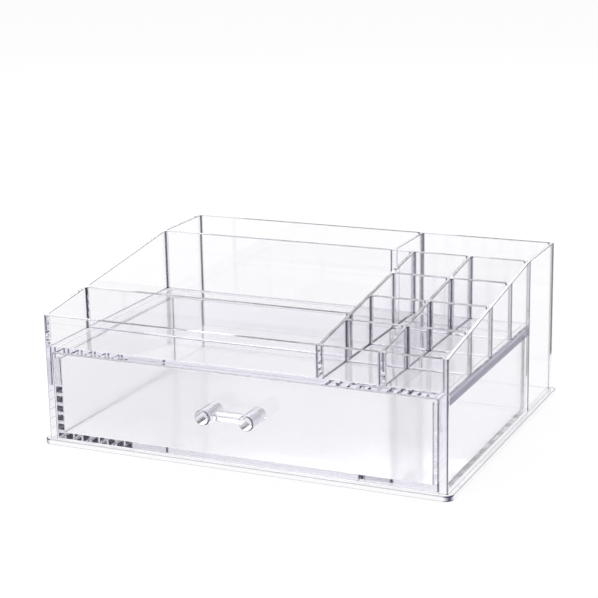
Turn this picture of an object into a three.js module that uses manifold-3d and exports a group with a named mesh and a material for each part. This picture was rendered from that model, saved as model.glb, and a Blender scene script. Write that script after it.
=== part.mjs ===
// A clear table organizer for make-up: an open tray of compartments and a full-height rear row,
// over one drawer with a bar handle. Flat sheets of clear plastic, cemented edge to edge.
// Millimetres, +Z up. The origin is the centre of the base plate's underside.
// X runs across the front, and the drawer opens towards -Y.

import * as THREE from 'three';
import { mergeVertices } from 'three/addons/utils/BufferGeometryUtils.js';
import Module from 'manifold-3d';

const wasm = await Module();
wasm.setup();

// Case
const caseWidth = 240;
const caseDepth = 190;
const rearHeight = 94.5;
const frontHeight = 75.8;
const sheet = 2.2;

// Base plate under the case
const plateThickness = 3.2;
const plateMargin = 3;
const plateCornerRadius = 5;

// Tray over the drawer, and the full-height row behind it
const trayFloorHeight = 57.2;
const trayFloorThickness = 2.6;
const rearRowDepth = 46;
const rearRightWidth = 80.7;
const frontCompartmentDepth = 40.8;
const cellWidth = 33;
const cellRows = 4;
const lapClearance = 0.15;

// Drawer and the guides beside it
const guideThickness = 2.6;
const drawerSheet = 3;
const drawerSideGap = 0.5;
const drawerTopGap = 0.6;
const drawerBottomGap = 0.3;
const drawerBackGap = 1.1;
const drawerSideDrop = 3.5;

// Handle: two round posts and a flat bar let into them
const handleHeight = 33.5;
const postSpacing = 26;
const postDiameter = 9;
const postLength = 16.5;
const postChamfer = 1.4;
const postSides = 32;
const barHeight = 3.2;
const barDepth = 9.5;
const barSetback = 1.8;
const socketDepth = 1.6;
const socketClearance = 0.3;

// Faces that several sheets share
const outerX = caseWidth / 2;
const innerX = outerX - sheet;
const frontY = -caseDepth / 2;
const backY = caseDepth / 2;
const plateTop = plateThickness;
const frontInnerY = frontY + sheet;
const backInnerY = backY - sheet;
const partitionBackY = backInnerY - rearRowDepth;
const partitionFrontY = partitionBackY - sheet;
const creaseY = (partitionFrontY + partitionBackY) / 2;
const trayFloorBottom = trayFloorHeight - trayFloorThickness;

// Height of the sloping top edge over a place along the depth
function topHeight(y) {
  const rise = (rearHeight - frontHeight) / (creaseY - frontY);
  return frontHeight + rise * (Math.min(y, creaseY) - frontY);
}

const part = new THREE.Group();

function clearPlastic(color, roughness) {
  return new THREE.MeshStandardMaterial({
    color, roughness, metalness: 0, transparent: true, opacity: 0.35,
  });
}

const caseColor = 0xe4e2ec;
const plateColor = 0xe9e8f0;
const drawerColor = 0xdedce8;
const handleColor = 0xf0eff5;

function addPiece(name, geometry, material) {
  const mesh = new THREE.Mesh(geometry, material);
  mesh.name = name;
  part.add(mesh);
}

function shapeOf(points) {
  return new THREE.Shape(points.map(([u, v]) => new THREE.Vector2(u, v)));
}

function extruded(shape, thickness) {
  return new THREE.ExtrudeGeometry(shape, { depth: thickness, bevelEnabled: false });
}

// A sheet that runs across the case: its outline is in X and Z, and it fills y to y + thickness
function sheetAcross(points, y, thickness) {
  const geometry = extruded(shapeOf(points), thickness);
  geometry.rotateX(Math.PI / 2);
  geometry.translate(0, y + thickness, 0);
  return geometry;
}

// A sheet that runs front to back: its outline is in Y and Z, and it fills x to x + thickness
function sheetAlong(points, x, thickness) {
  const geometry = extruded(shapeOf(points), thickness);
  geometry.rotateX(Math.PI / 2);
  geometry.rotateZ(Math.PI / 2);
  geometry.translate(x, 0, 0);
  return geometry;
}

function rectangle(low, high, bottom, top) {
  return [[low, bottom], [high, bottom], [high, top], [low, top]];
}

// Outline in Y and Z of a sheet whose top follows the case's sloping edge
function slopedOutline(lowY, highY, bottom) {
  const top = [[highY, topHeight(highY)]];
  if (highY > creaseY) top.push([creaseY, topHeight(creaseY)]);
  top.push([lowY, topHeight(lowY)]);
  return [[lowY, bottom], [highY, bottom], ...top];
}

function box(lowX, highX, lowY, highY, bottom, top) {
  const geometry = new THREE.BoxGeometry(highX - lowX, highY - lowY, top - bottom);
  geometry.translate((lowX + highX) / 2, (lowY + highY) / 2, (bottom + top) / 2);
  return geometry;
}

function toSolid(geometry) {
  const bare = geometry.clone();
  bare.deleteAttribute('normal');
  bare.deleteAttribute('uv');
  const merged = mergeVertices(bare);
  return new wasm.Manifold(new wasm.Mesh({
    numProp: 3,
    vertProperties: merged.attributes.position.array,
    triVerts: merged.index.array,
  }));
}

function fromSolid(solid) {
  const mesh = solid.getMesh();
  const geometry = new THREE.BufferGeometry();
  geometry.setAttribute('position', new THREE.BufferAttribute(mesh.vertProperties, 3));
  geometry.setIndex(new THREE.BufferAttribute(mesh.triVerts, 1));
  geometry.computeVertexNormals();
  return geometry;
}

// Base plate with rounded corners
function basePlate() {
  const halfX = outerX + plateMargin;
  const halfY = backY + plateMargin;
  const r = plateCornerRadius;
  const shape = new THREE.Shape();
  shape.moveTo(-halfX + r, -halfY);
  shape.lineTo(halfX - r, -halfY);
  shape.absarc(halfX - r, -halfY + r, r, -Math.PI / 2, 0);
  shape.lineTo(halfX, halfY - r);
  shape.absarc(halfX - r, halfY - r, r, 0, Math.PI / 2);
  shape.lineTo(-halfX + r, halfY);
  shape.absarc(-halfX + r, halfY - r, r, Math.PI / 2, Math.PI);
  shape.lineTo(-halfX, -halfY + r);
  shape.absarc(-halfX + r, -halfY + r, r, Math.PI, Math.PI * 1.5);
  return extruded(shape, plateThickness);
}

addPiece('base_plate', basePlate(), clearPlastic(plateColor, 0.06));

// Outer sheets of the case
const sideOutline = slopedOutline(frontY, backY, plateTop);
addPiece('left_wall', sheetAlong(sideOutline, -outerX, sheet), clearPlastic(caseColor, 0.05));
addPiece('right_wall', sheetAlong(sideOutline, innerX, sheet), clearPlastic(caseColor, 0.05));
addPiece('back_wall',
  box(-innerX, innerX, backInnerY, backY, plateTop, rearHeight), clearPlastic(caseColor, 0.05));
addPiece('front_wall',
  box(-innerX, innerX, frontY, frontInnerY, trayFloorBottom, frontHeight),
  clearPlastic(caseColor, 0.05));

// Partition between the tray and the rear row, and the divider of that row
addPiece('rear_partition',
  box(-innerX, innerX, partitionFrontY, partitionBackY, plateTop, topHeight(partitionFrontY)),
  clearPlastic(caseColor, 0.05));
const rearDividerX = innerX - rearRightWidth - sheet;
addPiece('rear_divider',
  box(rearDividerX, rearDividerX + sheet, partitionBackY, backInnerY, plateTop, rearHeight),
  clearPlastic(caseColor, 0.05));

// Tray floor, on a guide sheet at each side of the drawer
addPiece('tray_floor',
  box(-innerX, innerX, frontInnerY, partitionFrontY, trayFloorBottom, trayFloorHeight),
  clearPlastic(caseColor, 0.05));
const guideX = innerX - guideThickness;
for (const [name, lowX] of [['left_guide', -innerX], ['right_guide', guideX]]) {
  addPiece(name,
    box(lowX, lowX + guideThickness, frontY, partitionFrontY, plateTop, trayFloorBottom),
    clearPlastic(caseColor, 0.05));
}

// Dividers of the small cells, which run front to back on the tray floor
const rightDividerX = innerX - cellWidth - sheet;
const leftDividerX = rightDividerX - cellWidth - sheet;
addPiece('column_divider_left',
  sheetAlong(slopedOutline(frontInnerY, partitionFrontY, trayFloorHeight), leftDividerX, sheet),
  clearPlastic(caseColor, 0.05));

// Front faces of the walls across the cells, at even steps
const cellDepth = (partitionFrontY - frontInnerY - (cellRows - 1) * sheet) / cellRows;
const crossWallYs = [];
for (let row = 1; row < cellRows; row += 1) {
  crossWallYs.push(frontInnerY + row * cellDepth + (row - 1) * sheet);
}

// A cross wall and the right divider are halved into each other at half the wall's height
function crossWallTop(y) {
  return topHeight(y + sheet / 2);
}

function lapHeight(y) {
  return (trayFloorHeight + crossWallTop(y)) / 2;
}

function rightDividerOutline() {
  const points = [[frontInnerY, trayFloorHeight], [partitionFrontY, trayFloorHeight]];
  points.push([partitionFrontY, topHeight(partitionFrontY)]);
  for (const y of [...crossWallYs].reverse()) {
    const low = y - lapClearance;
    const high = y + sheet + lapClearance;
    const bottom = lapHeight(y) - lapClearance;
    points.push([high, topHeight(high)], [high, bottom], [low, bottom], [low, topHeight(low)]);
  }
  points.push([frontInnerY, topHeight(frontInnerY)]);
  return points;
}

addPiece('column_divider_right',
  sheetAlong(rightDividerOutline(), rightDividerX, sheet), clearPlastic(caseColor, 0.05));

function crossWallOutline(y) {
  const low = rightDividerX - lapClearance;
  const high = rightDividerX + sheet + lapClearance;
  const slotTop = lapHeight(y) + lapClearance;
  const top = crossWallTop(y);
  return [
    [leftDividerX + sheet, trayFloorHeight], [low, trayFloorHeight], [low, slotTop],
    [high, slotTop], [high, trayFloorHeight], [innerX, trayFloorHeight],
    [innerX, top], [leftDividerX + sheet, top],
  ];
}

crossWallYs.forEach((y, index) => {
  addPiece(`cross_wall_${index + 1}`,
    sheetAcross(crossWallOutline(y), y, sheet), clearPlastic(caseColor, 0.05));
});

// Divider between the front left compartment and the large one behind it
const longDividerY = frontInnerY + frontCompartmentDepth;
addPiece('long_divider',
  sheetAcross(
    rectangle(-innerX, leftDividerX, trayFloorHeight, topHeight(longDividerY + sheet / 2)),
    longDividerY, sheet),
  clearPlastic(caseColor, 0.05));

// Drawer box: the sides and the back are lower than the front
const drawerX = guideX - drawerSideGap;
const drawerInnerX = drawerX - drawerSheet;
const drawerBottom = plateTop + drawerBottomGap;
const drawerTop = trayFloorBottom - drawerTopGap;
const drawerSideTop = drawerTop - drawerSideDrop;
const drawerInnerY = frontY + drawerSheet;
const drawerBackY = partitionFrontY - drawerBackGap;
const drawerMaterial = () => clearPlastic(drawerColor, 0.06);

addPiece('drawer_front',
  box(-drawerX, drawerX, frontY, drawerInnerY, drawerBottom, drawerTop), drawerMaterial());
for (const [name, lowX] of [['drawer_left_side', -drawerX], ['drawer_right_side', drawerInnerX]]) {
  addPiece(name,
    box(lowX, lowX + drawerSheet, drawerInnerY, drawerBackY, drawerBottom, drawerSideTop),
    drawerMaterial());
}
addPiece('drawer_back',
  box(-drawerInnerX, drawerInnerX, drawerBackY - drawerSheet, drawerBackY,
    drawerBottom, drawerSideTop),
  drawerMaterial());
addPiece('drawer_bottom',
  box(-drawerInnerX, drawerInnerX, drawerInnerY, drawerBackY - drawerSheet,
    drawerBottom, drawerBottom + drawerSheet),
  drawerMaterial());

// Handle bar, whose ends sit in a socket in the side of each post
const postRadius = postDiameter / 2;
const barFrontY = frontY - postLength + barSetback;
const barHalfLength = postSpacing / 2 - postRadius + socketDepth;

function bar(clearance) {
  return box(-barHalfLength - clearance, barHalfLength + clearance,
    barFrontY - clearance, barFrontY + barDepth + clearance,
    handleHeight - barHeight / 2 - clearance, handleHeight + barHeight / 2 + clearance);
}

addPiece('handle_bar', bar(0), clearPlastic(handleColor, 0.04));

// Round post with a bevelled front end, standing out of the drawer front
function post(x) {
  const profile = [
    [0, 0], [postRadius, 0], [postRadius, postLength - postChamfer],
    [postRadius - postChamfer, postLength], [0, postLength],
  ].map(([r, along]) => new THREE.Vector2(r, along));
  const geometry = new THREE.LatheGeometry(profile, postSides);
  geometry.rotateX(Math.PI);
  geometry.translate(x, frontY, handleHeight);
  return fromSolid(toSolid(geometry).subtract(toSolid(bar(socketClearance))));
}

addPiece('handle_post_left', post(-postSpacing / 2), clearPlastic(handleColor, 0.04));
addPiece('handle_post_right', post(postSpacing / 2), clearPlastic(handleColor, 0.04));

export default part;
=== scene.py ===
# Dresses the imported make-up organizer in clear moulded plastic and stands it on a pale stage.

from math import cos, pi, radians, sin

import bmesh
import bpy
from bpy.props import FloatProperty, FloatVectorProperty, IntProperty, PointerProperty
from bpy.types import Operator, Panel, PropertyGroup
from mathutils import Matrix, Vector


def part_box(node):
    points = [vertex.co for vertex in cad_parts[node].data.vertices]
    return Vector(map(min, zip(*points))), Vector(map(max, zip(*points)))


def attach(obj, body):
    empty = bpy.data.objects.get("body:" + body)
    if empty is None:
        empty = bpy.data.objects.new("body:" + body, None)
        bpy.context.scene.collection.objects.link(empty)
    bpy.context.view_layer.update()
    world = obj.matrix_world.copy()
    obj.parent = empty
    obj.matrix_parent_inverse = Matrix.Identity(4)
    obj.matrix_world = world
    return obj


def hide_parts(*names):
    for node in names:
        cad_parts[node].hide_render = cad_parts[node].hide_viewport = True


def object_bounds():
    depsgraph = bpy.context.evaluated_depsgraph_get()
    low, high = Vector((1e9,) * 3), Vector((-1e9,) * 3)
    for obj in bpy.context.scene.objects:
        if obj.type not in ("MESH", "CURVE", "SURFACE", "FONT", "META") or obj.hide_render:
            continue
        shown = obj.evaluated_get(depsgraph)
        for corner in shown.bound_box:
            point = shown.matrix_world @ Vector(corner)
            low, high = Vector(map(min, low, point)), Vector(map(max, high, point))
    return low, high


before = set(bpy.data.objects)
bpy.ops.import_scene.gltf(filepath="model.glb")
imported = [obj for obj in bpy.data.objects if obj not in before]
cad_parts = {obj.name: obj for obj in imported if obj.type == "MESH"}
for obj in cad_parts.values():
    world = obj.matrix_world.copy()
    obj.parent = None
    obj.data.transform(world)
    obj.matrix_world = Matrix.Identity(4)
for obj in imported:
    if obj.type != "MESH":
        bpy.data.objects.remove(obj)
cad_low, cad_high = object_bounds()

bl_info = {
    "name": "Clear Make-up Organizer",
    "version": (1, 0, 0),
    "blender": (4, 5, 0),
    "location": "View3D > Sidebar > Organizer",
    "description": "Builds a clear organizer with one drawer around its construction frame",
    "category": "Object",
}

CROSS_WALLS = ("cross_wall_1", "cross_wall_2", "cross_wall_3")
CASE_NODES = (
    "base_plate", "left_wall", "right_wall", "back_wall", "front_wall", "rear_partition",
    "rear_divider", "tray_floor", "left_guide", "right_guide", "column_divider_left",
    "column_divider_right", "long_divider", *CROSS_WALLS,
)
DRAWER_NODES = (
    "drawer_front", "drawer_left_side", "drawer_right_side", "drawer_back", "drawer_bottom",
)
HANDLE_NODES = ("handle_bar", "handle_post_left", "handle_post_right")

MM = 0.001
# How far a point may lie off a face and still count as on it
FACE_TOLERANCE = 0.1 * MM
# How far a cutter reaches past what it cuts, so that no two faces lie in one plane
OVERRUN = 20 * MM
# Steps in a quarter turn
SMALL_ARC = 6
ARC = 8
LARGE_ARC = 10

# How far an edge has to turn to be rounded, and to be shaded sharp
ROUNDED_FROM = radians(40)
SHARP_FROM = radians(35)
HANDLE_SHARP_FROM = radians(25)
ROUNDING_SEGMENTS = 3
# How much more flat faces count than roundings for the normals between them
FLAT_FACE_WEIGHT = 100

# Noise of the mould's ripples, and how much of the tint it leaves
RIPPLE_DETAIL = 1.0
RIPPLE_ROUGHNESS = 0.4
RIPPLE_SPAN = (0.3, 0.7)
TINT_SHARES = (0.99, 1.0)
# Noise of the haze from handling, in marks per metre, and the part of it that shows
SMEAR_SCALE = 60.0
SMEAR_DETAIL = 4.0
SMEAR_DISTORTION = 0.6
SMEAR_SPAN = (0.45, 0.75)

# Soft edges of the soft box overhead and of the white sweep behind
SOFT_BOX_EDGE = radians(4)
SWEEP_EDGE = radians(6)
# Width of the camera's sensor in millimetres
SENSOR_WIDTH = 36.0


class CaseSizes(PropertyGroup):
    """Roundings of the case and its foot plate."""

    corner_fillet: FloatProperty(
        name="Corner fillet", description="Inner radius where two upright walls meet",
        default=1.55 * MM, min=0.5 * MM, unit="LENGTH")
    floor_fillet: FloatProperty(
        name="Floor fillet", description="Inner radius where a wall meets a compartment's floor",
        default=0.7 * MM, min=0.2 * MM, unit="LENGTH")
    outer_corner: FloatProperty(
        name="Outer corner", description="Radius of the upright outer corners",
        default=1 * MM, min=0.5 * MM, unit="LENGTH")
    rail_fillet: FloatProperty(
        name="Rail fillet", description="Radius in the upper corners of the drawer's bay",
        default=1.6 * MM, min=0.1 * MM, unit="LENGTH")
    edge_rounding: FloatProperty(
        name="Edge rounding", description="Radius on the rims and the other outer edges",
        default=0.35 * MM, min=0.05 * MM, unit="LENGTH")
    plate_corner: FloatProperty(
        name="Plate corner", description="Radius of the foot plate's corners",
        default=5 * MM, min=1 * MM, unit="LENGTH")
    plate_edge: FloatProperty(
        name="Plate edge", description="Radius along the foot plate's upper and lower edges",
        default=0.7 * MM, min=0.1 * MM, unit="LENGTH")
    seat_depth: FloatProperty(
        name="Seat depth", description="How far the walls are let into the foot plate",
        default=1 * MM, min=0.01 * MM, unit="LENGTH")


class DrawerSizes(PropertyGroup):
    """Roundings of the drawer."""

    corner_fillet: FloatProperty(
        name="Corner fillet", description="Inner radius of the drawer's upright corners",
        default=1 * MM, min=0.5 * MM, unit="LENGTH")
    floor_fillet: FloatProperty(
        name="Floor fillet", description="Inner radius round the drawer's floor",
        default=0.4 * MM, min=0.2 * MM, unit="LENGTH")
    step_fillet: FloatProperty(
        name="Step fillet", description="Radius where the front rises over the sides",
        default=1.5 * MM, min=0.2 * MM, unit="LENGTH")
    outer_corner: FloatProperty(
        name="Outer corner", description="Radius of the drawer's upright outer corners",
        default=0.6 * MM, min=0.2 * MM, unit="LENGTH")
    edge_rounding: FloatProperty(
        name="Edge rounding", description="Radius on the drawer's rims and front edges",
        default=0.4 * MM, min=0.05 * MM, unit="LENGTH")


class HandleSizes(PropertyGroup):
    """Roundings of the handle."""

    end_bevel: FloatProperty(
        name="End bevel", description="Width of the bevel round the front end of each post",
        default=0.7 * MM, min=0.1 * MM, unit="LENGTH")
    edge_rounding: FloatProperty(
        name="Edge rounding", description="Radius along the bar's edges",
        default=1.2 * MM, min=0.05 * MM, unit="LENGTH")
    post_sides: IntProperty(
        name="Post sides", description="Number of sides that make each round post",
        default=96, min=16)
    seat_gap: FloatProperty(
        name="Seat gap", description="Thin joint between the posts and the drawer's front",
        default=0.05 * MM, min=0.01 * MM, unit="LENGTH")


class PlasticLook(PropertyGroup):
    """Colour and clearness of the plastic."""

    refraction: FloatProperty(
        name="Refractive index", description="How strongly the plastic bends light",
        default=1.5, min=1.0, max=2.0)
    case_colour: FloatVectorProperty(
        name="Case colour", description="Colour of light that passes one sheet of the case",
        subtype="COLOR", size=3, default=(0.990, 0.988, 0.999), min=0, max=1)
    drawer_colour: FloatVectorProperty(
        name="Drawer colour", description="Colour of light that passes one wall of the drawer",
        subtype="COLOR", size=3, default=(0.991, 0.987, 1.0), min=0, max=1)
    # Painted shade: a dark line with a coloured skirt beside it is painted along fillets and
    # rounded edges, in place of the dark that they refract; the tightnesses and the level share set
    # its width and its strength on rims
    painted_corner_shade: FloatVectorProperty(
        name="Painted corner shade", description="Colour of light that passes a fillet or a rounded edge",
        subtype="COLOR", size=3, default=(0.002, 0.002, 0.012), min=0, max=1)
    corner_tightness: FloatProperty(
        name="Corner tightness", description="How narrow the dark line along a fillet is",
        default=1.8, min=1.0)
    level_share: FloatProperty(
        name="Level share", description="How dark rims and floor fillets are beside corners",
        subtype="FACTOR", default=0.75, min=0, max=1)
    painted_skirt_shade: FloatVectorProperty(
        name="Painted skirt shade", description="Colour beside the dark line of a fillet",
        subtype="COLOR", size=3, default=(0.42, 0.41, 0.60), min=0, max=1)
    skirt_tightness: FloatProperty(
        name="Skirt tightness", description="How narrow the coloured skirt beside the dark line is",
        default=2.0, min=1.0)
    # Painted shade: dark bands painted on the side walls' outer faces where the ends of sheets, the
    # tray's floor and the bay's rails lie behind, in place of the dark that these show through the
    # wall
    painted_sheet_end_shade: FloatVectorProperty(
        name="Painted sheet end shade", description="Colour where a side wall shows the end of a sheet",
        subtype="COLOR", size=3, default=(0.14, 0.14, 0.24), min=0, max=1)
    painted_tray_end_shade: FloatVectorProperty(
        name="Painted tray end shade", description="Colour where the tray's floor is seen end on",
        subtype="COLOR", size=3, default=(0.28, 0.28, 0.40), min=0, max=1)
    painted_rail_shade: FloatVectorProperty(
        name="Painted rail shade", description="Colour of the side walls between drawer and tray",
        subtype="COLOR", size=3, default=(0.070, 0.066, 0.125), min=0, max=1)
    handle_colour: FloatVectorProperty(
        name="Handle colour", description="Colour of light that passes one face of the handle",
        subtype="COLOR", size=3, default=(0.955, 0.955, 0.97), min=0, max=1)
    # Painted shade on the handle: a dark line and a pale skirt painted along its bevels and the
    # bar's rounded edges, in place of the dark that they refract
    handle_painted_edge_shade: FloatVectorProperty(
        name="Handle painted edge shade", description="Colour of light that passes a bevel of the handle",
        subtype="COLOR", size=3, default=(0.38, 0.38, 0.44), min=0, max=1)
    handle_painted_skirt_shade: FloatVectorProperty(
        name="Handle painted skirt shade", description="Colour beside the dark line of the handle's edges",
        subtype="COLOR", size=3, default=(0.86, 0.86, 0.89), min=0, max=1)
    depth_colour: FloatVectorProperty(
        name="Depth colour", description="Colour that long ways inside the plastic turn to",
        subtype="COLOR", size=3, default=(0.50, 0.48, 0.80), min=0, max=1)
    case_density: FloatProperty(
        name="Case density", description="How fast light fades inside the case, per metre",
        default=1.8, min=0.0)
    drawer_density: FloatProperty(
        name="Drawer density", description="How fast light fades inside the drawer, per metre",
        default=1.2, min=0.0)
    handle_density: FloatProperty(
        name="Handle density", description="How fast light fades inside the handle, per metre",
        default=0.8, min=0.0)
    haze: FloatProperty(
        name="Haze", description="Highest surface roughness of the handled plastic",
        subtype="FACTOR", default=0.03, min=0, max=1)
    front_haze: FloatProperty(
        name="Front haze", description="Surface roughness on the inner face of the drawer's front",
        subtype="FACTOR", default=0.14, min=0, max=1)
    ripple: FloatProperty(
        name="Ripple", description="Height of the mould's slow ripples",
        default=0.02 * MM, min=0, unit="LENGTH")
    ripple_length: FloatProperty(
        name="Ripple length", description="Distance between the mould's ripples",
        default=35 * MM, min=1 * MM, unit="LENGTH")


class StageSettings(PropertyGroup):
    """The floor, the lamps and the camera."""

    backdrop: FloatVectorProperty(
        name="Backdrop", description="Colour of the floor and of what stands behind the object",
        subtype="COLOR", size=3, default=(1.0, 1.0, 1.0), min=0, max=1)
    ceiling: FloatVectorProperty(
        name="Ceiling", description="Colour of the dark ring, which the camera does not see",
        subtype="COLOR", size=3, default=(0.0, 0.0, 0.015), min=0, max=1)
    dark_from: FloatProperty(
        name="Dark from", description="Height over the horizon where the dark ring starts",
        subtype="ANGLE", default=radians(10))
    dark_full: FloatProperty(
        name="Dark full", description="Height over the horizon where the dark ring is darkest",
        subtype="ANGLE", default=radians(17))
    dark_to: FloatProperty(
        name="Dark to", description="Height over the horizon where the dark ring ends",
        subtype="ANGLE", default=radians(66))
    sweep_height: FloatProperty(
        name="Sweep height", description="Height of the white sweep's middle over the horizon",
        subtype="ANGLE", default=radians(22))
    sweep_radius: FloatProperty(
        name="Sweep radius", description="How far the white sweep reaches round its middle",
        subtype="ANGLE", default=radians(32))
    floor_glow: FloatProperty(
        name="Floor glow", description="Share of the floor's white that no shadow takes away",
        subtype="FACTOR", default=0.85, min=0, max=1)
    floor_contact: FloatProperty(
        name="Floor contact", description="How far the foot plate sinks into the floor",
        default=0.05 * MM, unit="LENGTH")
    floor_size: FloatProperty(
        name="Floor size", description="Side of the floor", default=12.0, min=1, unit="LENGTH")
    fill: FloatProperty(
        name="Fill light", description="Strength of the even light from all sides",
        default=0.8, min=0)
    key_power: FloatProperty(
        name="Key power", description="Power of the main lamp", default=14.0, min=0, unit="POWER")
    key_size: FloatProperty(
        name="Key size", description="Side of the main lamp's soft box",
        default=1.2, min=0.1, unit="LENGTH")
    key_place: FloatVectorProperty(
        name="Key place", description="Where the main lamp hangs",
        subtype="XYZ", size=3, default=(-0.9, -0.7, 1.7), unit="LENGTH")
    back_power: FloatProperty(
        name="Back power", description="Power of the lamp behind, which the rims mirror",
        default=4.5, min=0, unit="POWER")
    back_size: FloatVectorProperty(
        name="Back size", description="Width and height of the soft box behind",
        subtype="XYZ", size=2, default=(1.2, 0.8), min=0.1, unit="LENGTH")
    back_place: FloatVectorProperty(
        name="Back place", description="Where the lamp behind hangs",
        subtype="XYZ", size=3, default=(-0.54, 1.18, 0.94), unit="LENGTH")
    light_bounces: IntProperty(
        name="Light bounces", description="How many clear surfaces light may cross",
        default=28, min=12)
    inner_bounces: IntProperty(
        name="Inner bounces", description="How often light may turn inside a clear wall",
        default=28, min=4)
    camera_place: FloatVectorProperty(
        name="Camera place", description="Where the camera stands",
        subtype="XYZ", size=3, default=(0.389, -0.860, 0.3268), unit="LENGTH")
    camera_yaw: FloatProperty(
        name="Camera yaw", description="Turn of the camera from straight back to the left",
        subtype="ANGLE", default=radians(24.644))
    camera_pitch: FloatProperty(
        name="Camera pitch", description="Tilt of the camera below the horizon",
        subtype="ANGLE", default=radians(15.086))
    camera_roll: FloatProperty(
        name="Camera roll", description="Turn of the camera round its own line of sight",
        subtype="ANGLE", default=radians(-1.125))
    camera_lens: FloatProperty(
        name="Camera lens", description="Focal length over a 36 mm sensor, in millimetres",
        default=101.1, min=10)


# Mesh tools

def rounded_outline(low, high, radius, steps):
    """Points of a rectangle with round corners, anticlockwise, as (u, v) pairs."""
    centres = (
        (high[0] - radius, low[1] + radius, -pi / 2),
        (high[0] - radius, high[1] - radius, 0),
        (low[0] + radius, high[1] - radius, pi / 2),
        (low[0] + radius, low[1] + radius, pi),
    )
    points = []
    for u, v, start in centres:
        for i in range(steps + 1):
            turn = start + i * pi / 2 / steps
            points.append((u + radius * cos(turn), v + radius * sin(turn)))
    return points


def add_object(name, mesh):
    """Puts a finished bmesh into the scene as an object."""
    data = bpy.data.meshes.new(name)
    mesh.to_mesh(data)
    mesh.free()
    made = bpy.data.objects.new(name, data)
    bpy.context.scene.collection.objects.link(made)
    return made


def loft(name, rings):
    """A closed mesh object through rings of points, which all have as many points."""
    mesh = bmesh.new()
    rows = [[mesh.verts.new(point) for point in ring] for ring in rings]
    for lower, upper in zip(rows, rows[1:]):
        for i in range(len(lower)):
            j = (i + 1) % len(lower)
            mesh.faces.new((lower[i], lower[j], upper[j], upper[i]))
    mesh.faces.new(reversed(rows[0]))
    mesh.faces.new(rows[-1])
    bmesh.ops.recalc_face_normals(mesh, faces=mesh.faces)
    return add_object(name, mesh)


def prism_up(name, outline, low_z, high_z):
    """An upright solid with an outline in X and Y."""
    return loft(name, [[(x, y, z) for x, y in outline] for z in (low_z, high_z)])


def prism_across(name, outline, low_x, high_x):
    """A solid with an outline in Y and Z that runs across the organizer."""
    return loft(name, [[(x, y, z) for y, z in outline] for x in (low_x, high_x)])


def hollow(name, low, high, corner, floor_fillet, top):
    """The space inside a compartment: round upright corners, and a fillet round its floor."""
    rings = []
    for i in range(ARC + 1):
        turn = i * pi / 2 / ARC
        inset = floor_fillet * (1 - sin(turn))
        height = low[2] + floor_fillet * (1 - cos(turn))
        outline = rounded_outline(
            (low[0] + inset, low[1] + inset), (high[0] - inset, high[1] - inset),
            corner - inset, ARC)
        rings.append([(x, y, height) for x, y in outline])
    rings.append([(x, y, top) for x, y, _ in rings[-1]])
    return loft(name, rings)


def apply_modifiers(piece):
    """Puts the result of a piece's modifiers into its own mesh."""
    depsgraph = bpy.context.evaluated_depsgraph_get()
    old = piece.data
    piece.data = bpy.data.meshes.new_from_object(piece.evaluated_get(depsgraph))
    piece.modifiers.clear()
    bpy.data.meshes.remove(old)
    piece.data.name = piece.name


def combine(piece, others, operation):
    """Cuts the other solids from the piece, or joins them to it, and removes them."""
    for other in others:
        step = piece.modifiers.new(operation.title(), "BOOLEAN")
        step.operation = operation
        step.solver = "EXACT"
        step.object = other
    apply_modifiers(piece)
    for other in others:
        bpy.data.objects.remove(other)


def shade_smooth(piece, sharp_from):
    """Shades a piece smooth, except along edges that turn further than an angle."""
    for face in piece.data.polygons:
        face.use_smooth = True
    piece.data.set_sharp_from_angle(angle=sharp_from)


def round_edges(piece, radius):
    """Rounds every sharp edge, then sets normals so that flat faces shade flat."""
    bevel = piece.modifiers.new("Rounding", "BEVEL")
    bevel.limit_method = "ANGLE"
    bevel.angle_limit = ROUNDED_FROM
    bevel.width = radius
    bevel.segments = ROUNDING_SEGMENTS
    bevel.use_clamp_overlap = False
    bevel.miter_outer = "MITER_ARC"
    apply_modifiers(piece)
    shade_smooth(piece, SHARP_FROM)
    weigh = piece.modifiers.new("Flat faces", "WEIGHTED_NORMAL")
    weigh.keep_sharp = True
    weigh.weight = FLAT_FACE_WEIGHT
    apply_modifiers(piece)


def settle(piece, body, material, nodes):
    """Gives a piece its material, its body and the parts that it stands for."""
    if not piece.data.polygons:
        raise RuntimeError(f"{piece.name} came out empty")
    piece.data.materials.clear()
    piece.data.materials.append(material)
    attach(piece, body)
    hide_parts(*nodes)


# Shader tools

def add_node(tree, kind, place, inputs=None, **settings):
    """A shader node with its settings. Its inputs are fixed values or other nodes' outputs."""
    node = tree.nodes.new(kind)
    node.location = place
    for name, value in settings.items():
        setattr(node, name, value)
    for name, source in (inputs or {}).items():
        if isinstance(source, bpy.types.NodeSocket):
            tree.links.new(source, node.inputs[name])
        else:
            node.inputs[name].default_value = source
    return node


def calculate(tree, operation, place, *sources, **settings):
    """The output of a math node that works on fixed values or other nodes' outputs."""
    inputs = dict(enumerate(sources))
    node = add_node(tree, "ShaderNodeMath", place, inputs, operation=operation, **settings)
    return node.outputs["Value"]


def combine_vectors(tree, operation, place, first, second, result="Vector"):
    """The output of a node that works on two vectors."""
    node = add_node(tree, "ShaderNodeVectorMath", place, {0: first, 1: second}, operation=operation)
    return node.outputs[result]


def map_range(tree, place, source, span, ends, **settings):
    """The output of a node that turns the values of a span into those between two ends."""
    inputs = {
        "Value": source,
        "From Min": span[0], "From Max": span[1],
        "To Min": ends[0], "To Max": ends[1],
    }
    return add_node(tree, "ShaderNodeMapRange", place, inputs, **settings).outputs["Result"]


def mix_colours(tree, place, share, first, second):
    """The output of a node that mixes two colours."""
    inputs = {"Factor": share, "A": first, "B": second}
    return add_node(tree, "ShaderNodeMix", place, inputs, data_type="RGBA").outputs["Result"]


def empty_tree(data):
    """The node tree of a new material or world, with nothing in it."""
    data.use_nodes = True
    data.node_tree.nodes.clear()
    return data.node_tree


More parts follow.
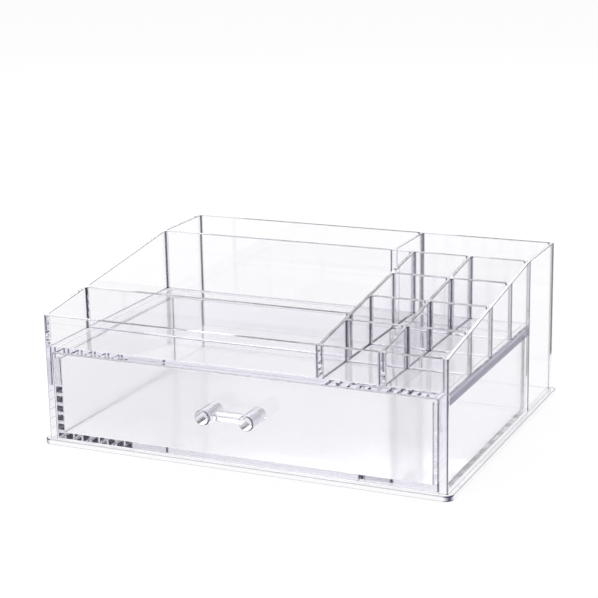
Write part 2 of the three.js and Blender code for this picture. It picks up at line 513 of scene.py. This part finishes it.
def flow_and_painted_shade_group():
    """Ripples and haze of moulded plastic, and shade painted where its surface turns, in place of
    the dark that fillets and rounded edges refract.
    """
    name = "Mould Flow and Painted Shade"
    if name in bpy.data.node_groups:
        return bpy.data.node_groups[name]
    tree = bpy.data.node_groups.new(name, "ShaderNodeTree")
    sockets = (
        ("Tint", "INPUT", "NodeSocketColor"),
        # Corner Tint, Skirt Tint, their tightnesses and the level share set the painted corner
        # shade
        ("Corner Tint", "INPUT", "NodeSocketColor"),
        ("Skirt Tint", "INPUT", "NodeSocketColor"),
        ("Corner Tightness", "INPUT", "NodeSocketFloat"),
        ("Skirt Tightness", "INPUT", "NodeSocketFloat"),
        ("Haze", "INPUT", "NodeSocketFloat"),
        ("Ripple Length", "INPUT", "NodeSocketFloat"),
        ("Level Share", "INPUT", "NodeSocketFloat"),
        ("Tint", "OUTPUT", "NodeSocketColor"),
        ("Roughness", "OUTPUT", "NodeSocketFloat"),
        ("Height", "OUTPUT", "NodeSocketFloat"),
    )
    for label, direction, kind in sockets:
        tree.interface.new_socket(name=label, in_out=direction, socket_type=kind)
    entry = add_node(tree, "NodeGroupInput", (-900, 0)).outputs
    place = add_node(tree, "ShaderNodeTexCoord", (-900, -300)).outputs
    per_metre = calculate(tree, "DIVIDE", (-700, -150), 1.0, entry["Ripple Length"])
    ripple = add_node(tree, "ShaderNodeTexNoise", (-500, -100), {
        "Vector": place["Object"], "Scale": per_metre,
        "Detail": RIPPLE_DETAIL, "Roughness": RIPPLE_ROUGHNESS})
    smear = add_node(tree, "ShaderNodeTexNoise", (-500, -400), {
        "Vector": place["Object"], "Scale": SMEAR_SCALE,
        "Detail": SMEAR_DETAIL, "Distortion": SMEAR_DISTORTION})
    haze = map_range(tree, (-250, -350), smear.outputs["Fac"], SMEAR_SPAN, (0.0, entry["Haze"]))
    shade = map_range(tree, (-250, 50), ripple.outputs["Fac"], RIPPLE_SPAN, TINT_SHARES)
    tint = add_node(
        tree, "ShaderNodeVectorMath", (100, 100), {0: entry["Tint"], "Scale": shade},
        operation="SCALE")
    colour = tint.outputs["Vector"]
    # Painted shade: the skirt and then the dark line are mixed into the tint where the surface
    # turns
    turning = corner_shade_mask(tree, place["Normal"], entry["Level Share"])
    for step, part in enumerate(("Skirt", "Corner")):
        row = -300 * step
        tight = calculate(tree, "POWER", (300, 500 + row), turning, entry[part + " Tightness"])
        colour = mix_colours(tree, (500, 400 + row), tight, colour, entry[part + " Tint"])
    add_node(tree, "NodeGroupOutput", (750, 0), {
        "Tint": colour, "Roughness": haze, "Height": ripple.outputs["Fac"]})
    return tree


def corner_shade_mask(tree, normal, level_share):
    """Mask of the painted corner shade: 1 halfway round an upright corner, the level share halfway
    round a rim, 0 on flat faces.
    """
    absolute = add_node(
        tree, "ShaderNodeVectorMath", (-700, 500), {0: normal}, operation="ABSOLUTE")
    size = absolute.outputs["Vector"]
    axes = add_node(tree, "ShaderNodeSeparateXYZ", (-500, 600), {"Vector": size}).outputs
    turned = add_node(tree, "ShaderNodeCombineXYZ", (-300, 600), {
        "X": axes["Y"], "Y": axes["Z"], "Z": axes["X"]}).outputs["Vector"]
    weights = add_node(tree, "ShaderNodeCombineXYZ", (-300, 800), {
        "X": 1.0, "Y": level_share, "Z": level_share}).outputs["Vector"]
    weighed = combine_vectors(tree, "MULTIPLY", (-200, 650), turned, weights)
    shared = combine_vectors(tree, "DOT_PRODUCT", (-100, 500), size, weighed, "Value")
    return calculate(tree, "MULTIPLY", (100, 500), shared, 2.0, use_clamp=True)


def surface_input(material, name):
    """An input of a material's surface shader."""
    surface = next(node for node in material.node_tree.nodes if node.type == "BSDF_PRINCIPLED")
    return surface.inputs[name]


def object_axes(tree, place):
    """The X, Y and Z of each point of an object, as outputs."""
    point = add_node(tree, "ShaderNodeTexCoord", (place[0] - 200, place[1])).outputs["Object"]
    return add_node(tree, "ShaderNodeSeparateXYZ", place, {"Vector": point}).outputs


def haze_one_face(material, place_y, haze):
    """Makes the faces at one depth of the object hazier than the rest of a clear plastic."""
    tree = material.node_tree
    roughness = surface_input(material, "Roughness")
    depth = object_axes(tree, (-800, 500))["Y"]
    here = calculate(tree, "COMPARE", (-600, 500), depth, place_y, FACE_TOLERANCE)
    share = calculate(tree, "MULTIPLY", (-450, 350), here, haze)
    most = calculate(tree, "MAXIMUM", (-300, 250), share, roughness.links[0].from_socket)
    tree.links.new(most, roughness)


def paint_shade_patches(material, patches, colour):
    """Paints shade on parts of a side wall as seen from outside, in boxes given as (face's X, low,
    high).
    """
    tree = material.node_tree
    base = surface_input(material, "Base Color")
    axes = object_axes(tree, (-1800, 900))
    total = 0.0
    for row, (face_x, low, high) in enumerate(patches):
        y = 1200 + 200 * row
        spans = (
            ("X", face_x, FACE_TOLERANCE),
            ("Y", (low.y + high.y) / 2, (high.y - low.y) / 2),
            ("Z", (low.z + high.z) / 2, (high.z - low.z) / 2),
        )
        on_face, in_depth, in_height = (
            calculate(tree, "COMPARE", (200 * column - 1600, y), axes[axis], middle, reach)
            for column, (axis, middle, reach) in enumerate(spans))
        strip = calculate(tree, "MULTIPLY", (-1000, y), on_face, in_depth)
        inside = calculate(tree, "MULTIPLY", (-800, y), strip, in_height)
        total = calculate(tree, "MAXIMUM", (-600, y), total, inside)
    back = add_node(tree, "ShaderNodeNewGeometry", (-1000, 600)).outputs["Backfacing"]
    outside = calculate(tree, "SUBTRACT", (-800, 600), 1.0, back)
    share = calculate(tree, "MULTIPLY", (-550, 600), total, outside)
    # Painted shade: the patch colour is mixed into the base colour inside the boxes
    shaded_base = mix_colours(tree, (-350, 350), share, base.links[0].from_socket, (*colour, 1))
    tree.links.new(shaded_base, base)


def clear_plastic(name, look, colour, density, painted_corner_shade, painted_skirt_shade):
    """Clear plastic that bends light, tints it over long ways, lets lamps shine through and has
    shade painted along its fillets and rounded edges.
    """
    material = bpy.data.materials.new(name)
    tree = empty_tree(material)
    flow = add_node(tree, "ShaderNodeGroup", (-700, 0), {
        "Tint": (*colour, 1), "Corner Tint": (*painted_corner_shade, 1), "Skirt Tint": (*painted_skirt_shade, 1),
        "Corner Tightness": look.corner_tightness, "Skirt Tightness": look.skirt_tightness,
        "Haze": look.haze, "Ripple Length": look.ripple_length, "Level Share": look.level_share,
    }, node_tree=flow_and_painted_shade_group()).outputs
    bump = add_node(tree, "ShaderNodeBump", (-400, -200), {
        "Distance": look.ripple, "Strength": 1.0, "Height": flow["Height"]})
    # The base colour carries the plastic's tint with the painted corner shade
    surface = add_node(tree, "ShaderNodeBsdfPrincipled", (-150, 100), {
        "Transmission Weight": 1.0, "IOR": look.refraction, "Base Color": flow["Tint"],
        "Roughness": flow["Roughness"], "Normal": bump.outputs["Normal"]})
    through = add_node(tree, "ShaderNodeBsdfTransparent", (-150, -350), {"Color": (*colour, 1)})
    path = add_node(tree, "ShaderNodeLightPath", (-150, 500))
    mix = add_node(tree, "ShaderNodeMixShader", (200, 100), {
        0: path.outputs["Is Shadow Ray"], 1: surface.outputs["BSDF"], 2: through.outputs["BSDF"]})
    inside = add_node(tree, "ShaderNodeVolumeAbsorption", (200, -150), {
        "Color": (*look.depth_colour, 1), "Density": density})
    add_node(tree, "ShaderNodeOutputMaterial", (450, 50), {
        "Surface": mix.outputs["Shader"], "Volume": inside.outputs["Volume"]})
    return material


# Pieces

def compartments():
    """Low and high corners of each open compartment, read from the frame, as (name, low, high)."""
    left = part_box("left_wall")[1].x
    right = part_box("right_wall")[0].x
    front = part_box("front_wall")[1].y
    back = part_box("back_wall")[0].y
    partition_low, partition_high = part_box("rear_partition")
    divider_low, divider_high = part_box("rear_divider")
    column_1_low, column_1_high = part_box("column_divider_left")
    column_2_low, column_2_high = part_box("column_divider_right")
    long_low, long_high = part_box("long_divider")
    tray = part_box("tray_floor")[1].z
    ground = partition_low.z
    spaces = [
        ("rear_left", (left, partition_high.y, ground), (divider_low.x, back)),
        ("rear_right", (divider_high.x, partition_high.y, ground), (right, back)),
        ("front_left", (left, front, tray), (column_1_low.x, long_low.y)),
        ("middle_left", (left, long_high.y, tray), (column_1_low.x, partition_low.y)),
    ]
    row_starts = [front] + [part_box(wall)[1].y for wall in CROSS_WALLS]
    row_ends = [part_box(wall)[0].y for wall in CROSS_WALLS] + [partition_low.y]
    columns = ((column_1_high.x, column_2_low.x), (column_2_high.x, right))
    for row, (start, end) in enumerate(zip(row_starts, row_ends)):
        for column, (low_x, high_x) in enumerate(columns):
            spaces.append((f"cell_{row}_{column}", (low_x, start, tray), (high_x, end)))
    return spaces


class ORGANIZER_OT_case(Operator):
    """Build the case as one clear moulding with its foot plate, tray, dividers and drawer bay"""

    bl_idname = "organizer.case"
    bl_label = "Case, Tray and Foot Plate"

    def execute(self, context):
        sizes = context.scene.organizer_case
        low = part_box("left_wall")[0]
        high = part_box("right_wall")[1]
        outline = rounded_outline(low.xy, high.xy, sizes.outer_corner, ARC)
        case = prism_up("case_and_tray", outline, low.z - sizes.seat_depth, high.z + OVERRUN)
        combine(case, [self.top_cutter(low, high)], "DIFFERENCE")
        combine(case, [self.drawer_bay(low, sizes), *self.hollows(high.z, sizes)], "DIFFERENCE")
        combine(case, [self.foot_plate(sizes)], "UNION")
        round_edges(case, sizes.edge_rounding)
        material = self.plastic(context.scene.organizer_plastic, low, high)
        settle(case, "case", material, CASE_NODES)
        return {"FINISHED"}

    def top_cutter(self, low, high):
        """Everything above the rim, which slopes up to the partition and then runs level."""
        front_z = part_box("front_wall")[1].z
        partition_low, partition_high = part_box("rear_partition")
        crease = (partition_low.y + partition_high.y) / 2
        slope = (high.z - front_z) / (crease - low.y)
        front, back, top = low.y - OVERRUN, high.y + OVERRUN, high.z + 2 * OVERRUN
        outline = [
            (front, front_z - slope * OVERRUN), (crease, high.z), (back, high.z),
            (back, top), (front, top),
        ]
        return prism_across("top_cutter", outline, low.x - OVERRUN, high.x + OVERRUN)

    def drawer_bay(self, case_low, sizes):
        """The space that the drawer slides in, open to the front and over the foot plate."""
        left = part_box("left_guide")[1].x
        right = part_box("right_guide")[0].x
        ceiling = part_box("tray_floor")[0].z
        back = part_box("rear_partition")[0].y
        outline = rounded_outline(
            (left, case_low.z - OVERRUN), (right, ceiling), sizes.rail_fillet, SMALL_ARC)
        rings = [[(x, y, z) for x, z in outline] for y in (case_low.y - OVERRUN, back)]
        return loft("drawer_bay", rings)

    def hollows(self, rim_z, sizes):
        """The space inside each compartment. Those of the rear row go down to the foot plate."""
        tray_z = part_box("tray_floor")[0].z
        spaces = []
        for name, low, high in compartments():
            floor_z = low[2] - OVERRUN if low[2] < tray_z else low[2]
            spaces.append(hollow(
                name, (low[0], low[1], floor_z), high, sizes.corner_fillet, sizes.floor_fillet,
                rim_z + 2 * OVERRUN))
        return spaces

    def foot_plate(self, sizes):
        """The plate under the walls, wider than the case, with round corners and edges."""
        low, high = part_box("base_plate")
        radius = sizes.plate_edge
        rings = []
        for start, middle_z in ((-pi / 2, low.z + radius), (0, high.z - radius)):
            for i in range(SMALL_ARC + 1):
                turn = start + i * pi / 2 / SMALL_ARC
                inset = radius * (1 - cos(turn))
                outline = rounded_outline(
                    (low.x + inset, low.y + inset), (high.x - inset, high.y - inset),
                    sizes.plate_corner - inset, LARGE_ARC)
                rings.append([(x, y, middle_z + radius * sin(turn)) for x, y in outline])
        return loft("foot_plate", rings)

    def plastic(self, look, low, high):
        """The case's plastic, with shade painted on the side walls where sheets, tray and rails lie
        behind.
        """
        material = clear_plastic(
            "Clear case plastic", look, look.case_colour, look.case_density,
            look.painted_corner_shade, look.painted_skirt_shade)
        sheet_end_shade_patches = [(high.x, *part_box(sheet)) for sheet in ("rear_partition", *CROSS_WALLS)]
        sheet_end_shade_patches += [(low.x, *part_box(sheet)) for sheet in ("rear_partition", "long_divider")]
        tray_low, tray_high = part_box("tray_floor")
        drawer_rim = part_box("drawer_right_side")[1].z
        under_low = Vector((0, tray_low.y, drawer_rim))
        under_high = Vector((0, tray_high.y, tray_low.z))
        rail_shade_patches = [(x, under_low, under_high) for x in (low.x, high.x)]
        tray_end_shade_patches = [(x, tray_low, tray_high) for x in (low.x, high.x)]
        # Painted shade: dark bands where sheet ends, rails and the tray's floor lie behind the side
        # walls
        paint_shade_patches(material, sheet_end_shade_patches, look.painted_sheet_end_shade)
        paint_shade_patches(material, rail_shade_patches, look.painted_rail_shade)
        paint_shade_patches(material, tray_end_shade_patches, look.painted_tray_end_shade)
        return material


class ORGANIZER_OT_drawer(Operator):
    """Build the drawer as one clear box whose front stands higher than its sides"""

    bl_idname = "organizer.drawer"
    bl_label = "Drawer"

    def execute(self, context):
        sizes = context.scene.organizer_drawer
        look = context.scene.organizer_plastic
        front_low, front_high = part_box("drawer_front")
        side_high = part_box("drawer_right_side")[1]
        floor_low, floor_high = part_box("drawer_bottom")
        outline = rounded_outline(
            (front_low.x, front_low.y), (front_high.x, side_high.y), sizes.outer_corner, SMALL_ARC)
        drawer = prism_up("drawer_box", outline, front_low.z, front_high.z)
        step = rounded_outline(
            (front_high.y, side_high.z), (side_high.y + OVERRUN, front_high.z + OVERRUN),
            sizes.step_fillet, ARC)
        over_sides = prism_across("over_sides", step, front_low.x - OVERRUN, front_high.x + OVERRUN)
        combine(drawer, [over_sides], "DIFFERENCE")
        inside = hollow(
            "inside", (floor_low.x, floor_low.y, floor_high.z), (floor_high.x, floor_high.y),
            sizes.corner_fillet, sizes.floor_fillet, front_high.z + OVERRUN)
        combine(drawer, [inside], "DIFFERENCE")
        round_edges(drawer, sizes.edge_rounding)
        # The drawer's plastic, with shade painted along its fillets and rounded edges
        material = clear_plastic(
            "Clear drawer plastic", look, look.drawer_colour, look.drawer_density,
            look.painted_corner_shade, look.painted_skirt_shade)
        haze_one_face(material, front_high.y, look.front_haze)
        settle(drawer, "drawer", material, DRAWER_NODES)
        return {"FINISHED"}


class ORGANIZER_OT_handle(Operator):
    """Build the handle: two round posts with bevelled ends, joined by a flat bar"""

    bl_idname = "organizer.handle"
    bl_label = "Handle"

    def execute(self, context):
        sizes = context.scene.organizer_handle
        look = context.scene.organizer_plastic
        posts = [self.post(node, sizes) for node in ("handle_post_left", "handle_post_right")]
        low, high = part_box("handle_bar")
        corners = [(low.x, low.y), (high.x, low.y), (high.x, high.y), (low.x, high.y)]
        handle = prism_up("handle", corners, low.z, high.z)
        round_edges(handle, sizes.edge_rounding)
        combine(handle, posts, "UNION")
        shade_smooth(handle, HANDLE_SHARP_FROM)
        # The handle's plastic, with shade painted along its bevels and the bar's rounded edges
        material = clear_plastic(
            "Clear handle plastic", look, look.handle_colour, look.handle_density,
            look.handle_painted_edge_shade, look.handle_painted_skirt_shade)
        settle(handle, "drawer", material, HANDLE_NODES)
        return {"FINISHED"}

    def post(self, node, sizes):
        """A round post in the place of a node, with a bevel round its front end."""
        low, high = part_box(node)
        centre = (low + high) / 2
        radius = (high.x - low.x) / 2
        sections = (
            (high.y - sizes.seat_gap, radius),
            (low.y + sizes.end_bevel, radius),
            (low.y, radius - sizes.end_bevel),
        )
        turns = [2 * pi * i / sizes.post_sides for i in range(sizes.post_sides)]
        rings = [
            [(centre.x + r * cos(t), y, centre.z + r * sin(t)) for t in turns]
            for y, r in sections
        ]
        return loft(node + "_round", rings)


# Stage

def seen_directly(tree, place):
    """A value of 1 for camera, glossy and transmission rays, and 0 for the rest."""
    path = add_node(tree, "ShaderNodeLightPath", place).outputs
    some = calculate(
        tree, "MAXIMUM", (place[0] + 200, place[1]), path["Is Camera Ray"], path["Is Glossy Ray"])
    return calculate(tree, "MAXIMUM", (place[0] + 400, place[1]), some, path["Is Transmission Ray"])


def backdrop_floor(stage):
    """A floor that stays white to the eye and keeps a soft shadow."""
    material = bpy.data.materials.new("Pale floor")
    tree = empty_tree(material)
    matt = add_node(tree, "ShaderNodeBsdfDiffuse", (-200, -100), {"Color": (*stage.backdrop, 1)})
    glow = add_node(tree, "ShaderNodeEmission", (-200, 100), {"Color": (*stage.backdrop, 1)})
    seen = seen_directly(tree, (-800, 200))
    share = calculate(tree, "MULTIPLY", (-200, 300), seen, stage.floor_glow)
    mix = add_node(tree, "ShaderNodeMixShader", (100, 0), {
        0: share, 1: matt.outputs["BSDF"], 2: glow.outputs["Emission"]})
    add_node(tree, "ShaderNodeOutputMaterial", (350, 0), {"Surface": mix.outputs["Shader"]})
    return material


def soft_step(tree, place, source, start, end, ends):
    """The output of a node that moves softly from one of two ends to the other."""
    return map_range(tree, place, source, (start, end), ends, interpolation_type="SMOOTHSTEP")


def studio_world(stage):
    """White all round to the camera. The plastic meets a dark ring, with a white gap behind."""
    world = bpy.data.worlds.new("Studio")
    tree = empty_tree(world)
    towards = add_node(tree, "ShaderNodeTexCoord", (-900, -200)).outputs["Generated"]
    up = add_node(tree, "ShaderNodeSeparateXYZ", (-700, -200), {"Vector": towards}).outputs["Z"]
    over_horizon = soft_step(
        tree, (-500, -200), up, sin(stage.dark_from), sin(stage.dark_full), (0.0, 1.0))
    under_box = soft_step(
        tree, (-500, -500), up, sin(stage.dark_to), sin(stage.dark_to + SOFT_BOX_EDGE), (1.0, 0.0))
    ring = calculate(tree, "MULTIPLY", (-300, -350), over_horizon, under_box)
    middle = Vector((0, cos(stage.sweep_height), sin(stage.sweep_height)))
    middle.rotate(Matrix.Rotation(stage.camera_yaw, 3, "Z"))
    nearness = combine_vectors(tree, "DOT_PRODUCT", (-700, -700), towards, middle, "Value")
    beside_sweep = soft_step(
        tree, (-500, -750), nearness,
        cos(stage.sweep_radius), cos(stage.sweep_radius - SWEEP_EDGE), (1.0, 0.0))
    dark = calculate(tree, "MULTIPLY", (-300, -550), ring, beside_sweep)
    camera_ray = add_node(tree, "ShaderNodeLightPath", (-700, 300)).outputs["Is Camera Ray"]
    unseen = calculate(tree, "SUBTRACT", (-500, 200), 1.0, camera_ray)
    share = calculate(tree, "MULTIPLY", (-300, 0), dark, unseen)
    colour = mix_colours(tree, (-100, 0), share, (*stage.backdrop, 1), (*stage.ceiling, 1))
    shown = add_node(tree, "ShaderNodeBackground", (100, 100), {"Color": colour})
    fill = add_node(tree, "ShaderNodeBackground", (100, -100), {
        "Color": (*stage.backdrop, 1), "Strength": stage.fill})
    mix = add_node(tree, "ShaderNodeMixShader", (300, 0), {
        0: seen_directly(tree, (-500, 500)),
        1: fill.outputs["Background"], 2: shown.outputs["Background"]})
    add_node(tree, "ShaderNodeOutputWorld", (500, 0), {"Surface": mix.outputs["Shader"]})
    return world


class ORGANIZER_OT_stage(Operator):
    """Set the floor, the lamps, the background and the camera"""

    bl_idname = "organizer.stage"
    bl_label = "Stage"

    def execute(self, context):
        scene = context.scene
        stage = scene.organizer_stage
        self.floor(stage)
        scene.world = studio_world(stage)
        self.lamp("key_lamp", stage.key_place, (stage.key_size, stage.key_size), stage.key_power)
        self.lamp("back_lamp", stage.back_place, stage.back_size, stage.back_power)
        scene.camera = self.camera(stage)
        scene.view_settings.view_transform = "Standard"
        scene.cycles.max_bounces = stage.light_bounces + stage.inner_bounces
        scene.cycles.transmission_bounces = stage.light_bounces
        scene.cycles.glossy_bounces = stage.inner_bounces
        return {"FINISHED"}

    def floor(self, stage):
        """A square floor that just takes in the underside of the foot plate."""
        half = stage.floor_size / 2
        mesh = bmesh.new()
        corners = ((-half, -half), (half, -half), (half, half), (-half, half))
        mesh.faces.new([mesh.verts.new((x, y, 0)) for x, y in corners])
        floor = add_object("floor", mesh)
        floor.location.z = cad_low.z + stage.floor_contact
        floor.data.materials.append(backdrop_floor(stage))

    def lamp(self, name, place, size, power):
        """A soft box that faces the middle of the object."""
        data = bpy.data.lights.new(name, "AREA")
        data.shape = "RECTANGLE"
        data.size, data.size_y = size
        data.energy = power
        lamp = bpy.data.objects.new(name, data)
        lamp.location = place
        aim = Vector(place) - (cad_low + cad_high) / 2
        lamp.rotation_euler = aim.to_track_quat("Z", "Y").to_euler()
        bpy.context.scene.collection.objects.link(lamp)

    def camera(self, stage):
        """The camera, at the photograph's angle."""
        data = bpy.data.cameras.new("camera")
        data.lens = stage.camera_lens
        data.sensor_width = SENSOR_WIDTH
        camera = bpy.data.objects.new("camera", data)
        turn = (
            Matrix.Rotation(stage.camera_yaw, 4, "Z")
            @ Matrix.Rotation(pi / 2 - stage.camera_pitch, 4, "X")
            @ Matrix.Rotation(stage.camera_roll, 4, "Z")
        )
        camera.matrix_world = Matrix.Translation(stage.camera_place) @ turn
        bpy.context.scene.collection.objects.link(camera)
        return camera


class ORGANIZER_PT_sidebar(Panel):
    """Lists the pieces and their settings"""

    bl_label = "Clear Organizer"
    bl_idname = "ORGANIZER_PT_sidebar"
    bl_space_type = "VIEW_3D"
    bl_region_type = "UI"
    bl_category = "Organizer"

    def draw(self, context):
        for name, group, operator in SETTINGS:
            box = self.layout.box()
            if operator:
                box.operator(operator)
            else:
                box.label(text="Plastic")
            for setting in group.__annotations__:
                box.prop(getattr(context.scene, name), setting)


# Each group of settings with the operator it belongs to. The plastic is shared by all the pieces.
SETTINGS = (
    ("organizer_plastic", PlasticLook, None),
    ("organizer_case", CaseSizes, "organizer.case"),
    ("organizer_drawer", DrawerSizes, "organizer.drawer"),
    ("organizer_handle", HandleSizes, "organizer.handle"),
    ("organizer_stage", StageSettings, "organizer.stage"),
)
CLASSES = (
    ORGANIZER_OT_case, ORGANIZER_OT_drawer, ORGANIZER_OT_handle,
    ORGANIZER_OT_stage, ORGANIZER_PT_sidebar,
)


def register():
    """Adds the settings, the operators and the panel to Blender."""
    for name, group, _ in SETTINGS:
        bpy.utils.register_class(group)
        setattr(bpy.types.Scene, name, PointerProperty(type=group))
    for kind in CLASSES:
        bpy.utils.register_class(kind)


def unregister():
    """Takes out again all that register adds."""
    for kind in reversed(CLASSES):
        bpy.utils.unregister_class(kind)
    for name, group, _ in reversed(SETTINGS):
        delattr(bpy.types.Scene, name)
        bpy.utils.unregister_class(group)


def main():
    register()
    bpy.ops.organizer.case()
    bpy.ops.organizer.drawer()
    bpy.ops.organizer.handle()
    bpy.ops.organizer.stage()


if __name__ == "__main__":
    main()
